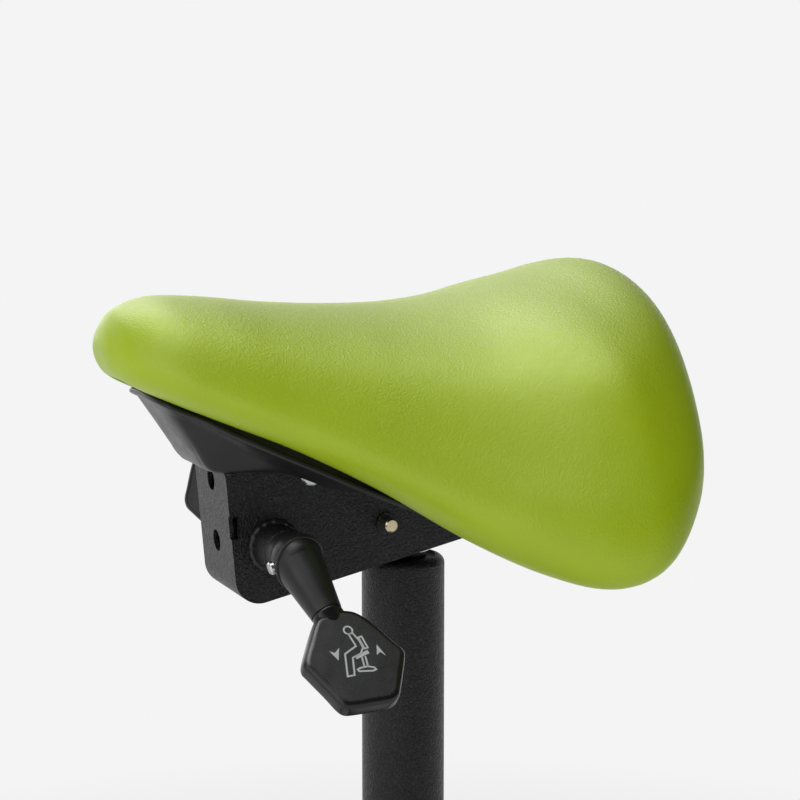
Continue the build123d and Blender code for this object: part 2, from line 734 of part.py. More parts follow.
def friction_discs():
    disc = ring_x(DISC_RADIUS, LOCK_RADIUS + RUN, ear_out + RUN, half_housing - SHEET - FIXED, lock)
    return both_sides(disc)


def clamp_nut():
    hexagon = RegularPolygon(NUT_FLATS / 2, 6, major_radius=False) - Circle(LOCK_RADIUS + RUN)
    return side_plate(Pos(*lock) * hexagon, -half_housing - NUT_LENGTH, -half_housing)


def lever_boss(length, shaft_radius, place):
    bore = shaft_radius + BOSS_BORE_ROOM
    boss = ring_x(BOSS_RADIUS, bore, half_housing, half_housing + length, place)
    rim = boss.faces().sort_by(Axis.X)[-1].outer_wire().edges()
    return chamfer(rim, EDGE)


# Levers, drawn pointing down and outwards on the +X side with the shaft on the X axis

def lever_plane(elbow_x, twist=0.0):
    """Plane of the lever's face, with X along the lever, turned about the lever by twist."""
    bend = radians(ELBOW_DEG)
    along = Vector(cos(bend), 0, -sin(bend))
    out = Vector(sin(bend), 0, cos(bend))
    straight = Plane(origin=(elbow_x, 0, 0), x_dir=along, z_dir=out)
    return Plane(straight.location * Rot(twist, 0, 0))


def along_lever(elbow_x, start, twist=0.0):
    """Plane square to the lever, at a distance from its elbow."""
    plane = lever_plane(elbow_x, twist)
    return Plane(origin=plane.origin + plane.x_dir * start, x_dir=plane.y_dir, z_dir=plane.x_dir)


def lever_round(elbow_x, radius, start, end):
    return along_lever(elbow_x, start) * Cylinder(
        radius, end - start, align=(Align.CENTER, Align.CENTER, Align.MIN)
    )


def screw_place(elbow_x):
    """Where the lever's screw head seats on the elbow's front side."""
    seat = (ELBOW_RADIUS ** 2 - (SCREW_HEAD_RADIUS + SCREW_SEAT_ROOM) ** 2) ** 0.5
    return Pos(elbow_x, -seat, 0) * Rot(90, 0, 0)


def lever_sleeve(elbow_x, shaft_radius):
    collar_x = elbow_x - ELBOW_REACH + GAP
    grip_end = elbow_x - TANG_RADIUS / 2
    standing = (Align.CENTER, Align.CENTER, Align.MIN)
    sleeve = rod_x(COLLAR_RADIUS, collar_x, elbow_x) + Pos(elbow_x, 0, 0) * Sphere(ELBOW_RADIUS)
    sleeve += along_lever(elbow_x, 0) * Cone(ELBOW_RADIUS, SLEEVE_END_RADIUS, SLEEVE_LENGTH, align=standing)
    sleeve -= rod_x(2 * ELBOW_RADIUS, collar_x - ELBOW_RADIUS, collar_x)
    sleeve -= rod_x(shaft_radius + FIXED, collar_x - ELBOW_RADIUS, grip_end)
    tang_end = SLEEVE_LENGTH - TANG_LENGTH - GAP
    sleeve -= lever_round(elbow_x, TANG_RADIUS + FIXED, tang_end, SLEEVE_LENGTH + CUT)
    place = screw_place(elbow_x)
    sleeve -= place * Cylinder(SCREW_HEAD_RADIUS + FIXED, 3 * SCREW_HEAD, align=standing)
    shank = Cylinder(SCREW_RADIUS + FIXED, SCREW_HEAD, align=(Align.CENTER, Align.CENTER, Align.MAX))
    return sleeve - place * shank


def lever_screw(elbow_x):
    place = screw_place(elbow_x)
    head = Cylinder(SCREW_HEAD_RADIUS, SCREW_HEAD, align=(Align.CENTER, Align.CENTER, Align.MIN))
    head = chamfer(head.faces().sort_by(Axis.Z)[-1].edges(), EDGE)
    shank = Cylinder(SCREW_RADIUS, SCREW_HEAD - GAP, align=(Align.CENTER, Align.CENTER, Align.MAX))
    return place * (head + shank)


def lever_paddle(elbow_x):
    plane = lever_plane(elbow_x, PADDLE_TWIST_DEG)
    half_neck = SLEEVE_END_RADIUS
    half_wide = PADDLE_WIDTH / 2
    half_tip = PADDLE_TIP_WIDTH / 2
    outline = Polygon(
        (NECK_LENGTH / 2, -half_neck), (PADDLE_WIDE_AT, -half_wide), (PADDLE_LENGTH, -half_tip),
        (PADDLE_LENGTH, half_tip), (PADDLE_WIDE_AT, half_wide), (NECK_LENGTH / 2, half_neck), align=None,
    )
    far = [vertex for vertex in outline.vertices() if vertex.X > NECK_LENGTH]
    outline = Pos(SLEEVE_LENGTH, 0) * Rot(0, 0, PADDLE_TURN_DEG) * fillet(far, PADDLE_CORNER)
    blade = extrude(plane * outline, amount=PADDLE_THICKNESS / 2, both=True)
    rim_z = PADDLE_THICKNESS / 2 - GAP
    rims = [edge for edge in blade.edges() if abs(plane.to_local_coords(edge.center()).Z) > rim_z]
    blade = fillet(rims, PADDLE_EDGE)
    low = along_lever(elbow_x, SLEEVE_LENGTH, PADDLE_TWIST_DEG)
    high = along_lever(elbow_x, SLEEVE_LENGTH + NECK_LENGTH, PADDLE_TWIST_DEG)
    neck = loft([
        low * Circle(SLEEVE_END_RADIUS - NECK_STEP),
        high * Ellipse(SLEEVE_END_RADIUS + NECK_FLARE, PADDLE_THICKNESS / 2 - NECK_STEP),
    ])
    return blade + neck + lever_round(elbow_x, TANG_RADIUS, SLEEVE_LENGTH - TANG_LENGTH, SLEEVE_LENGTH + CUT)


def tilt_side(piece):
    return Pos(0, lock[0], lock[1]) * Rot(TILT_LEVER_DEG, 0, 0) * piece


def height_side(piece):
    return Pos(0, axle[0], axle[1]) * Rot(HEIGHT_LEVER_DEG, 0, 0) * mirror(piece, Plane.YZ)


def tilt_shaft():
    start = -half_housing - NUT_LENGTH - NUT_THREAD_TAIL
    return rod_x(LOCK_RADIUS, start, tilt_elbow_x - TANG_RADIUS / 2 - GAP, lock)


def height_axle():
    stub = half_housing + AXLE_STUB
    axle_rod = rod_x(AXLE_RADIUS, GAP + TANG_RADIUS / 2 - height_elbow_x, stub, axle)
    return chamfer(axle_rod.faces().sort_by(Axis.X)[-1].edges(), EDGE)


def axle_clip():
    start = half_housing + GAP
    return ring_x(AXLE_CLIP_RADIUS, AXLE_RADIUS + FIXED, start, start + AXLE_CLIP, axle)


def height_finger():
    """Crank on the axle that reaches over the column and presses its button."""
    hub = Pos(*axle) * Circle(FINGER_HUB_RADIUS)
    knee = Pos(axle[0] - FINGER_BACKSET, finger_z) * Circle(FINGER_RADIUS)
    tip = Pos(0, finger_z) * Circle(FINGER_RADIUS)
    outline = make_hull(hub.edges() + knee.edges()) + make_hull(knee.edges() + tip.edges())
    outline -= Pos(*axle) * Circle(AXLE_RADIUS + FIXED)
    return side_plate(outline, -FINGER_WIDTH / 2, FINGER_WIDTH / 2)


# Seat

class Station:
    """One cross-section of the saddle, square to Y."""

    def __init__(self, row):
        along, width, ridge, drop = row
        seat_z = mech_z + SEAT_RISE
        self.y = SEAT_NOSE_Y + along * SEAT_LENGTH
        self.half = width * SEAT_WIDTH / 2
        self.ridge = seat_z + ridge * SEAT_CANTLE_RISE
        self.rim = seat_z - drop * SEAT_DROP
        self.roll = min(SEAT_ROLL, SEAT_ROLL_SHARE * (self.ridge - self.rim), self.half / 2)
        self.bed = max(plate_top + BOARD_THICKNESS, self.rim + min(SEAT_ROLL, self.ridge - self.rim) / 2)
        self.bed_half = BED_SHARE * self.half
        self.rim_in = self.half - SEAT_ROLL_WIDTH * self.roll
        self.plane = Plane(origin=(0, self.y, 0), x_dir=(1, 0, 0), z_dir=(0, -1, 0))

    def flank(self, angle):
        """Point on the padded top, from the ridge at 0 to the widest line at 90 degrees."""
        low = self.rim + self.roll
        turn = radians(angle)
        rise = max(cos(turn), 0) ** SEAT_ARCH
        return (self.half * sin(turn), low + (self.ridge - low) * rise)

    def rolled(self, angle):
        """Point on the lower edge's roll, from the widest line to the underside."""
        turn = radians(angle)
        inset = SEAT_ROLL_WIDTH * self.roll * (1 - cos(turn))
        return (self.half - inset, self.rim + self.roll * (1 - sin(turn)))


def left(point):
    return (-point[0], point[1])


def cushion_section(station):
    shoulder, flank, widest = station.flank(SHOULDER_DEG), station.flank(FLANK_DEG), station.flank(90)
    turn, under = station.rolled(45), station.rolled(90)
    bed = (station.bed_half, station.bed)
    edges = [
        ThreePointArc(left(shoulder), (0, station.ridge), shoulder),
        ThreePointArc(shoulder, flank, widest),
        ThreePointArc(widest, turn, under),
        Line(under, bed),
        Line(bed, left(bed)),
        Line(left(bed), left(under)),
        ThreePointArc(left(under), left(turn), left(widest)),
        ThreePointArc(left(widest), left(flank), left(shoulder)),
    ]
    return station.plane * make_face(edges)


def board_section(station):
    top = station.bed + BOARD_BED
    land = station.bed - BOARD_THICKNESS
    edge_x = station.bed_half + BOARD_REACH * (station.rim_in - station.bed_half)
    fall = BOARD_REACH * (station.bed - station.rim)
    edge_low = top - fall - BOARD_EDGE
    land_half = max(station.bed_half, min(edge_x, PLATE_WIDTH / 2))
    points = [
        (edge_x, edge_low), (edge_x, top - fall), (station.bed_half, top), (-station.bed_half, top),
        (-edge_x, top - fall), (-edge_x, edge_low), (-land_half, land), (land_half, land),
    ]
    return station.plane * make_face(Polyline(*points, close=True))


def pan_section(index):
    station = Station(STATIONS[index])
    low = pan_floor_z
    for end, foot, rise in ((PAN_FIRST, PAN_TOE, PAN_FRONT_RISE), (PAN_LAST, PAN_HEEL, PAN_REAR_RISE)):
        if min(end, foot) <= index <= max(end, foot):
            end_y, foot_y = Station(STATIONS[end]).y, Station(STATIONS[foot]).y
            low = pan_floor_z + (rise - PAN_FLOOR_RISE) * (station.y - foot_y) / (end_y - foot_y)
    half_floor = PAN_FLOOR_SHARES[index - PAN_FIRST] * station.half
    lip_x = station.half - PAN_LIP_INSET * station.roll / SEAT_ROLL
    wall_x = station.rim_in - PAN_LIP_GAP
    high = station.rim - PAN_LIP_GAP
    outline = [(lip_x, high), (lip_x, high - PAN_LIP), (wall_x, high - PAN_LIP), (half_floor, low)]
    inline = [(half_floor, low + PAN_WALL), (wall_x, high)]
    points = outline + [left(point) for point in reversed(outline)]
    points += [left(point) for point in reversed(inline)] + inline
    return station.plane * make_face(Polyline(*points, close=True))


def pan_boss_places():
    return [(side * PAN_BOSS_X, y) for side in (1, -1) for y in PAN_BOSS_YS]


def seat_pan():
    spans = [(PAN_FIRST, PAN_TOE), (PAN_TOE, PAN_HEEL), (PAN_HEEL, PAN_LAST)]
    pan = Part()
    for first, last in spans:
        pan += loft([pan_section(index) for index in range(first, last + 1)])
    hole_front = HOUSING_FRONT_Y - PAN_HOLE_FRONT_ROOM
    hole_rear = HOUSING_REAR_Y + PAN_HOLE_REAR_ROOM
    hole_half = half_housing + PAN_HOLE_ROOM
    pan -= Pos(0, (hole_front + hole_rear) / 2, pan_floor_z) * Box(
        2 * hole_half, hole_rear - hole_front, 4 * PAN_WALL
    )
    for x, y in pan_boss_places():
        pan += Pos(x, y, 0) * rod_z(PAN_BOSS_RADIUS, pan_floor_z, plate_top)
        pan -= Pos(x, y, 0) * rod_z(PAN_SCREW_RADIUS + FIXED, pan_floor_z - CUT, plate_top + CUT)
    return pan


def seat_board():
    board = loft([board_section(Station(row)) for row in STATIONS[BOARD_FIRST:BOARD_LAST + 1]], ruled=True)
    for x, y in bolt_places():
        board -= Pos(x, y, 0) * rod_z(BOLT_RADIUS + FIXED, plate_top - CUT, plate_top + BOLT_GRIP)
    for x, y in pan_boss_places():
        board -= Pos(x, y, 0) * rod_z(PAN_SCREW_RADIUS + FIXED, plate_top - CUT, plate_top + PAN_SCREW_GRIP)
    return board


def seat_cushion(board):
    cushion = loft([cushion_section(Station(row)) for row in STATIONS])
    return cushion - board


def seat_bolts():
    bolts = []
    for x, y in bolt_places():
        head = rod_z(BOLT_HEAD_RADIUS, plate_z - BOLT_HEAD, plate_z)
        shank = rod_z(BOLT_RADIUS, plate_z, plate_top + BOLT_GRIP - GAP)
        bolts.append(Pos(x, y, 0) * (head + shank))
    return Compound(children=bolts)


def pan_screws():
    screws = []
    for x, y in pan_boss_places():
        head = rod_z(PAN_SCREW_HEAD_RADIUS, pan_floor_z - PAN_SCREW_HEAD, pan_floor_z)
        shank = rod_z(PAN_SCREW_RADIUS, pan_floor_z, plate_top + PAN_SCREW_GRIP - GAP)
        screws.append(Pos(x, y, 0) * (head + shank))
    return Compound(children=screws)


# All pieces by name

board = seat_board()
nodes = {
    "star_base": star_base(),
    "hub_ring": hub_ring(),
    "caster_stems": Compound(children=[place * caster_stem() for place in stem_places()]),
    "column_tube": column_tube(),
    "guide_bush": guide_bush(),
    "bearing_balls": bearing_balls(),
    "piston_rod": piston_rod(),
    "rod_clip": rod_clip(),
    "bearing_washer": upper_washer(),
    "bump_stop": buffer(),
    "piston": piston(),
    "gas_cylinder": gas_cylinder(),
    "cylinder_seal": cylinder_seal(),
    "release_pin": release_pin(),
    "cone_socket": cone_socket(),
    "mechanism_housing": mechanism_housing(),
    "pivot_pin": pivot_pin(),
    "pivot_bushes": pivot_bushes(),
    "clamp_spacer": clamp_spacer(),
    "friction_discs": friction_discs(),
    "clamp_nut": clamp_nut(),
    "tilt_boss": lever_boss(TILT_BOSS_LENGTH, LOCK_RADIUS, lock),
    "height_boss": mirror(lever_boss(HEIGHT_BOSS_LENGTH, AXLE_RADIUS, axle), Plane.YZ),
    "tilt_shaft": tilt_shaft(),
    "tilt_sleeve": tilt_side(lever_sleeve(tilt_elbow_x, LOCK_RADIUS)),
    "tilt_paddle": tilt_side(lever_paddle(tilt_elbow_x)),
    "tilt_screw": tilt_side(lever_screw(tilt_elbow_x)),
    "height_axle": height_axle(),
    "axle_clip": axle_clip(),
    "height_finger": height_finger(),
    "height_sleeve": height_side(lever_sleeve(height_elbow_x, AXLE_RADIUS)),
    "height_paddle": height_side(lever_paddle(height_elbow_x)),
    "height_screw": height_side(lever_screw(height_elbow_x)),
    "seat_bracket": seat_bracket(),
    "seat_bolts": seat_bolts(),
    "seat_board": board,
    "seat_pan": seat_pan(),
    "pan_screws": pan_screws(),
    "seat_cushion": seat_cushion(board),
}

hood, caster_pin, wheel = caster_hood(), caster_axle(), caster_wheel()
for number, place in enumerate(stem_places(), 1):
    nodes[f"caster_hood_{number}"] = place * hood
    nodes[f"caster_axle_{number}"] = place * caster_pin
    nodes[f"wheel_left_{number}"] = place * wheel
    nodes[f"wheel_right_{number}"] = place * mirror(wheel, Plane.YZ)

os.makedirs("parts", exist_ok=True)
for name, shape in nodes.items():
    export_step(shape, f"parts/{name}.step")
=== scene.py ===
import json
from math import cos, pi, radians, sin

import bpy
from mathutils import Matrix, Vector


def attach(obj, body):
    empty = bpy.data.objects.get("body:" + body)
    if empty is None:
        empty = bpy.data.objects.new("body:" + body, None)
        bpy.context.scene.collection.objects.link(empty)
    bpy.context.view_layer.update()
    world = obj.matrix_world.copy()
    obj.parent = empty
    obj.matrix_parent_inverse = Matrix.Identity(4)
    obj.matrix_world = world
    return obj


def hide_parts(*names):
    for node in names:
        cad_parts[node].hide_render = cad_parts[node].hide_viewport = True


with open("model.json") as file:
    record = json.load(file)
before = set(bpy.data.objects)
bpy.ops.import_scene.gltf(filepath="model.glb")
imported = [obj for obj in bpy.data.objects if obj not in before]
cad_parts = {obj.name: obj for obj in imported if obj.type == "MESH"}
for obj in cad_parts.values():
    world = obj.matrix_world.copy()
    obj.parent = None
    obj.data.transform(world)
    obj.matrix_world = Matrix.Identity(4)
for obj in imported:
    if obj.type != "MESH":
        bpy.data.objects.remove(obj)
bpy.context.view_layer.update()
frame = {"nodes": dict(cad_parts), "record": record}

# Sizes shared with the solids, in metres
MECH_Z = 0.380
SEAT_Z = MECH_Z + 0.151
SEAT_LENGTH = 0.333
SEAT_WIDTH = 0.368
SEAT_NOSE_Y = -0.186
SEAT_CANTLE_RISE = 0.023
SEAT_DROP = 0.149
SEAT_ROLL = 0.016
SEAT_ROLL_SHARE = 0.32
SEAT_ROLL_WIDTH = 1.6
SEAT_ARCH = 1.15
BED_Z = MECH_Z + 0.092
BED_SHARE = 0.4
HALF_HOUSING = 0.029
BOSS_RADIUS = 0.0135
LOCK = Vector((0.0, -0.0923, MECH_Z + 0.016))
AXLE = Vector((0.0, -0.023, MECH_Z + 0.024))
LEVER_BEND = radians(45.0)
TILT_ELBOW_X = 0.066
TILT_TURN = radians(16.0)
HEIGHT_ELBOW_X = 0.058
HEIGHT_TURN = radians(-90.0)
PADDLE_TWIST = radians(-10.0)
PADDLE_FACE = 0.006
SLEEVE_RADIUS = 0.0145
SLEEVE_END_RADIUS = 0.009
SLEEVE_LENGTH = 0.038

# Shares of the seat's length, half width, cantle rise and wing drop, from the nose to the rear
STATIONS = [
    (0.003, 0.065, -0.56, 0.155),
    (0.012, 0.12, -0.28, 0.21),
    (0.036, 0.207, 0.07, 0.262),
    (0.093, 0.304, 0.33, 0.325),
    (0.183, 0.386, 0.28, 0.41),
    (0.288, 0.467, 0.11, 0.51),
    (0.408, 0.582, 0.0, 0.65),
    (0.53, 0.734, 0.0, 0.825),
    (0.634, 0.87, 0.16, 0.94),
    (0.724, 0.967, 0.42, 0.985),
    (0.8, 0.99, 0.66, 0.925),
    (0.874, 0.902, 0.94, 0.765),
    (0.925, 0.756, 0.94, 0.605),
    (0.967, 0.518, 0.52, 0.435),
    (0.988, 0.299, -0.13, 0.28),
    (0.997, 0.12, -0.61, 0.2),
]


# Shader nodes

def add_node(tree, kind, **settings):
    node = tree.nodes.new(kind)
    for key, value in settings.items():
        setattr(node, key, value)
    return node


def set_range(node, start, end, low, high):
    """Sets a Map Range node to go from low to high between the start and the end."""
    limits = {"From Min": start, "From Max": end, "To Min": low, "To Max": high}
    for socket, value in limits.items():
        node.inputs[socket].default_value = value


# Finishes

ROUGH_FROM = 0.25
ROUGH_TO = 0.75
WEAR_GAIN = 1.6
WEAR_LIFT = 0.002
PLY_SCALE = 110.0
PLY_DISTORTION = 0.6


class Finish:
    """A procedural material: one Principled shader and the texture nodes that feed it."""

    def __init__(self, name, values):
        self.material = bpy.data.materials.new(name)
        self.material.use_nodes = True
        self.tree = self.material.node_tree
        self.shader = self.tree.nodes["Principled BSDF"]
        self.coordinates = self.add("ShaderNodeTexCoord").outputs["Object"]
        for socket, value in values.items():
            self.shader.inputs[socket].default_value = value

    def add(self, kind, **settings):
        return add_node(self.tree, kind, **settings)

    def link(self, source, target):
        self.tree.links.new(source, target)

    def stretched(self, scale):
        """The piece's own coordinates, stretched along its axes."""
        mapping = self.add("ShaderNodeMapping")
        mapping.inputs["Scale"].default_value = scale
        self.link(self.coordinates, mapping.inputs["Vector"])
        return mapping.outputs["Vector"]

    def noise(self, size, detail=2.0, where=None):
        """Noise whose features are about size metres across."""
        node = self.add("ShaderNodeTexNoise")
        node.inputs["Scale"].default_value = 1.0 / size
        node.inputs["Detail"].default_value = detail
        self.link(where or self.coordinates, node.inputs["Vector"])
        return node.outputs["Fac"]

    def cells(self, size):
        """Distance from the middles of soft cells about size metres across."""
        node = self.add("ShaderNodeTexVoronoi", feature="SMOOTH_F1")
        node.inputs["Scale"].default_value = 1.0 / size
        self.link(self.coordinates, node.inputs["Vector"])
        return node.outputs["Distance"]

    def tint(self, factor, first, second, start=0.3, end=0.7):
        """Base colour that goes from the first to the second with the factor."""
        ramp = self.add("ShaderNodeValToRGB")
        ramp.color_ramp.elements[0].position = start
        ramp.color_ramp.elements[1].position = end
        ramp.color_ramp.elements[0].color = (*first, 1.0)
        ramp.color_ramp.elements[1].color = (*second, 1.0)
        self.link(factor, ramp.inputs["Fac"])
        self.link(ramp.outputs["Color"], self.shader.inputs["Base Color"])

    def rough(self, factor, low, high):
        """Roughness that goes from low to high over the middle of the factor's range."""
        node = self.add("ShaderNodeMapRange", clamp=True)
        set_range(node, ROUGH_FROM, ROUGH_TO, low, high)
        self.link(factor, node.inputs["Value"])
        self.link(node.outputs["Result"], self.shader.inputs["Roughness"])

    def relief(self, layers):
        """Bump from (height, depth in metres) layers, one over the other."""
        normal = None
        for height, depth in layers:
            bump = self.add("ShaderNodeBump")
            bump.inputs["Distance"].default_value = depth
            self.link(height, bump.inputs["Height"])
            if normal:
                self.link(normal, bump.inputs["Normal"])
            normal = bump.outputs["Normal"]
        self.link(normal, self.shader.inputs["Normal"])


def vinyl():
    """Grained upholstery vinyl with a soft sheen."""
    finish = Finish("green_vinyl", {
        "Specular IOR Level": 0.5,
        "Sheen Weight": 0.03,
        "Sheen Roughness": 0.45,
        "Sheen Tint": (0.86, 0.88, 0.72, 1.0),
    })
    finish.tint(finish.noise(0.06, 3.0), (0.305, 0.425, 0.001), (0.335, 0.455, 0.003))
    finish.rough(finish.noise(0.004, 4.0), 0.38, 0.48)
    grain, creases, waves = finish.cells(0.0011), finish.noise(0.0026, 4.0), finish.noise(0.05)
    finish.relief([(grain, 0.00014), (creases, 0.00008), (waves, 0.0006)])
    return finish.material


def powder_coat():
    """Coarse powder coat with orange peel."""
    finish = Finish("black_powder_coat", {"Specular IOR Level": 0.35})
    finish.tint(finish.noise(0.0011, 2.0), (0.003, 0.003, 0.0038), (0.036, 0.036, 0.04), 0.54, 0.76)
    finish.rough(finish.noise(0.003, 4.0), 0.36, 0.5)
    finish.relief([(finish.noise(0.0013, 2.0), 0.0009), (finish.noise(0.006), 0.0003)])
    return finish.material


def moulded_plastic(name, colour, roughness, grain):
    """Black moulded plastic with fine grain and a little handling wear."""
    finish = Finish(name, {"Specular IOR Level": 0.36})
    paler = [channel * WEAR_GAIN + WEAR_LIFT for channel in colour]
    finish.tint(finish.noise(0.02, 5.0), colour, paler, 0.4, 0.85)
    finish.rough(finish.noise(0.008, 6.0), roughness - 0.06, roughness + 0.08)
    finish.relief([(finish.noise(0.0007, 2.0), grain), (finish.noise(0.03), 0.0004)])
    return finish.material


def caster_nylon():
    """Wheel nylon, scuffed where it rolls."""
    finish = Finish("caster_tread", {"Specular IOR Level": 0.4})
    scuffs = finish.noise(0.0022, 8.0)
    finish.tint(scuffs, (0.018, 0.018, 0.019), (0.055, 0.054, 0.052), 0.5, 0.8)
    finish.rough(scuffs, 0.38, 0.62)
    finish.relief([(scuffs, 0.00012)])
    return finish.material


def plated_steel(name, first, second, roughness, grain=(1.0, 1.0, 1.0)):
    """Plated steel with cloudy plating and faint drawing lines, long where the grain's scale is small."""
    finish = Finish(name, {"Metallic": 1.0})
    lines = finish.noise(0.0006, 4.0, finish.stretched(grain))
    finish.tint(finish.noise(0.006, 4.0), first, second)
    finish.rough(lines, roughness - 0.05, roughness + 0.1)
    finish.relief([(lines, 0.00004)])
    return finish.material


def soft_rubber():
    """Dull rubber with a little bloom."""
    finish = Finish("black_rubber", {"Specular IOR Level": 0.3})
    bloom = finish.noise(0.005, 5.0)
    finish.tint(bloom, (0.012, 0.012, 0.012), (0.03, 0.03, 0.029))
    finish.rough(bloom, 0.7, 0.9)
    finish.relief([(finish.noise(0.0008, 3.0), 0.0001)])
    return finish.material


def plywood():
    """Plies along the board's height and grain along its length."""
    finish = Finish("plywood", {"Specular IOR Level": 0.3})
    plies = finish.add("ShaderNodeTexWave", bands_direction="Z")
    plies.inputs["Scale"].default_value = PLY_SCALE
    plies.inputs["Distortion"].default_value = PLY_DISTORTION
    finish.link(finish.coordinates, plies.inputs["Vector"])
    grain = finish.noise(0.002, 6.0, finish.stretched((1.0, 0.06, 1.0)))
    finish.tint(plies.outputs["Fac"], (0.42, 0.27, 0.13), (0.58, 0.42, 0.24), 0.2, 0.8)
    finish.rough(grain, 0.6, 0.8)
    finish.relief([(grain, 0.0002)])
    return finish.material


def acetal():
    """Pale bearing plastic."""
    finish = Finish("bearing_plastic", {"Subsurface Weight": 0.1})
    cloud = finish.noise(0.004, 3.0)
    finish.tint(cloud, (0.72, 0.7, 0.62), (0.8, 0.78, 0.7))
    finish.rough(cloud, 0.4, 0.52)
    finish.relief([(finish.noise(0.0005, 3.0), 0.00003)])
    return finish.material


def friction_lining():
    """Brown fibre lining of the tilt lock's discs."""
    finish = Finish("friction_lining", {"Specular IOR Level": 0.2})
    fibres = finish.noise(0.0009, 6.0, finish.stretched((1.0, 0.3, 1.0)))
    finish.tint(fibres, (0.1, 0.07, 0.05), (0.24, 0.17, 0.12))
    finish.rough(fibres, 0.75, 0.95)
    finish.relief([(fibres, 0.0002)])
    return finish.material


def figure_ink():
    """Printed grey of the functional figure on the paddle."""
    finish = Finish("figure_ink", {"Specular IOR Level": 0.3})
    speckle = finish.noise(0.0006, 3.0)
    finish.tint(speckle, (0.5, 0.52, 0.53), (0.6, 0.62, 0.63))
    finish.rough(speckle, 0.5, 0.65)
    return finish.material


ALONG_X = (0.15, 1.0, 1.0)
ALONG_Z = (1.0, 1.0, 0.1)
BLACK = (0.008, 0.008, 0.0085)
GLOSS_BLACK = (0.008, 0.008, 0.009)

finishes = {
    "green_vinyl": vinyl(),
    "black_powder_coat": powder_coat(),
    "black_plastic": moulded_plastic("black_plastic", BLACK, 0.36, 0.00006),
    "caster_tread": caster_nylon(),
    "gloss_black_plastic": moulded_plastic("gloss_black_plastic", GLOSS_BLACK, 0.27, 0.00003),
    "zinc_steel": plated_steel("zinc_steel", (0.52, 0.53, 0.55), (0.66, 0.67, 0.69), 0.28, ALONG_X),
    "chromed_steel": plated_steel("chromed_steel", (0.62, 0.63, 0.65), (0.7, 0.71, 0.73), 0.1),
    "yellow_zinc": plated_steel("yellow_zinc", (0.56, 0.47, 0.3), (0.66, 0.58, 0.42), 0.26),
    "piston_alloy": plated_steel("piston_alloy", (0.6, 0.6, 0.61), (0.7, 0.7, 0.71), 0.3, ALONG_Z),
    "black_rubber": soft_rubber(),
    "plywood": plywood(),
    "bearing_plastic": acetal(),
    "friction_lining": friction_lining(),
}

for entry in frame["record"]["subparts"]:
    node = frame["nodes"][entry["node"]]
    node.data.materials.clear()
    node.data.materials.append(finishes[entry["material_slot"]])


# Mesh helpers

def piece_from(name, vertices, faces, material, body):
    """A smooth-shaded mesh object that rides on a body."""
    mesh = bpy.data.meshes.new(name)
    mesh.from_pydata(vertices, [], faces)
    mesh.shade_smooth()
    mesh.materials.append(material)
    piece = bpy.data.objects.new(name, mesh)
    bpy.context.scene.collection.objects.link(piece)
    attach(piece, body)
    return piece


def close_rows(rows, first_pole=None, last_pole=None):
    """Vertices and faces of a skin over closed rows of points, with a pole at either end."""
    count = len(rows[0])
    vertices = [point for row in rows for point in row]
    faces = []
    for index in range(len(rows) - 1):
        here, there = index * count, (index + 1) * count
        for step in range(count):
            after = (step + 1) % count
            faces.append((here + step, here + after, there + after, there + step))
    for pole, start, flip in ((first_pole, 0, True), (last_pole, (len(rows) - 1) * count, False)):
        if pole is None:
            continue
        vertices.append(pole)
        for step in range(count):
            corner = (start + step, start + (step + 1) % count, len(vertices) - 1)
            faces.append(corner[::-1] if flip else corner)
    return vertices, faces


def spline_point(points, position):
    """Point on a Catmull-Rom spline through rows of numbers, at a position counted in rows."""
    index = min(max(int(position), 0), len(points) - 2)
    t = position - index
    before = points[max(index - 1, 0)]
    start, end = points[index], points[index + 1]
    after = points[min(index + 2, len(points) - 1)]
    mixed = []
    for a, b, c, d in zip(before, start, end, after):
        mixed.append(0.5 * (2 * b + (c - a) * t + (2 * a - 5 * b + 4 * c - d) * t ** 2
                            + (3 * b - a - 3 * c + d) * t ** 3))
    return mixed


def smooth_loop(rows, steps):
    """Rows on a closed spline through the given ones, with a count of steps from each to the next."""
    around = rows[-1:] + rows + rows[:2]
    return [spline_point(around, 1 + index / steps) for index in range(len(rows) * steps)]


def full_turn(steps):
    """Angles evenly round a circle."""
    return [2 * pi * step / steps for step in range(steps)]


# Cushion

MIRRORED_ROWS = 2
CUSHION_STEPS = 7
FLANK_STEPS = 22
ROLL_STEPS = 8
UNDER_STEPS = 6
RECESS_START = 0.035
RECESS_FADE = 0.03
BULGE = 0.0042
BULGE_FROM_RIM = 0.034
BULGE_WIDTH = 0.017
BULGE_END_Y = 0.08
BULGE_FADE = 0.07
VALLEY = 0.0046
VALLEY_FROM_RIM = 0.072
VALLEY_WIDTH = 0.021
CROWN = 0.005
CROWN_Y = 0.06
CROWN_REACH = 0.048


def seat_rows():
    """Rows of place, half width, ridge and rim, mirrored past each end so that the ends close round."""
    rows = []
    for along, width, ridge, drop in STATIONS:
        rows.append((SEAT_NOSE_Y + along * SEAT_LENGTH, width * SEAT_WIDTH / 2,
                     SEAT_Z + ridge * SEAT_CANTLE_RISE, SEAT_Z - drop * SEAT_DROP))
    nose = [(y, -half, rim, ridge) for y, half, ridge, rim in rows[:MIRRORED_ROWS][::-1]]
    rear = [(y, -half, rim, ridge) for y, half, ridge, rim in rows[-MIRRORED_ROWS:][::-1]]
    nose_z, rear_z = [(row[2] + row[3]) / 2 for row in (rows[0], rows[-1])]
    nose_pole = (SEAT_NOSE_Y, 0.0, nose_z, nose_z)
    rear_pole = (SEAT_NOSE_Y + SEAT_LENGTH, 0.0, rear_z, rear_z)
    return nose + [nose_pole] + rows + [rear_pole] + rear


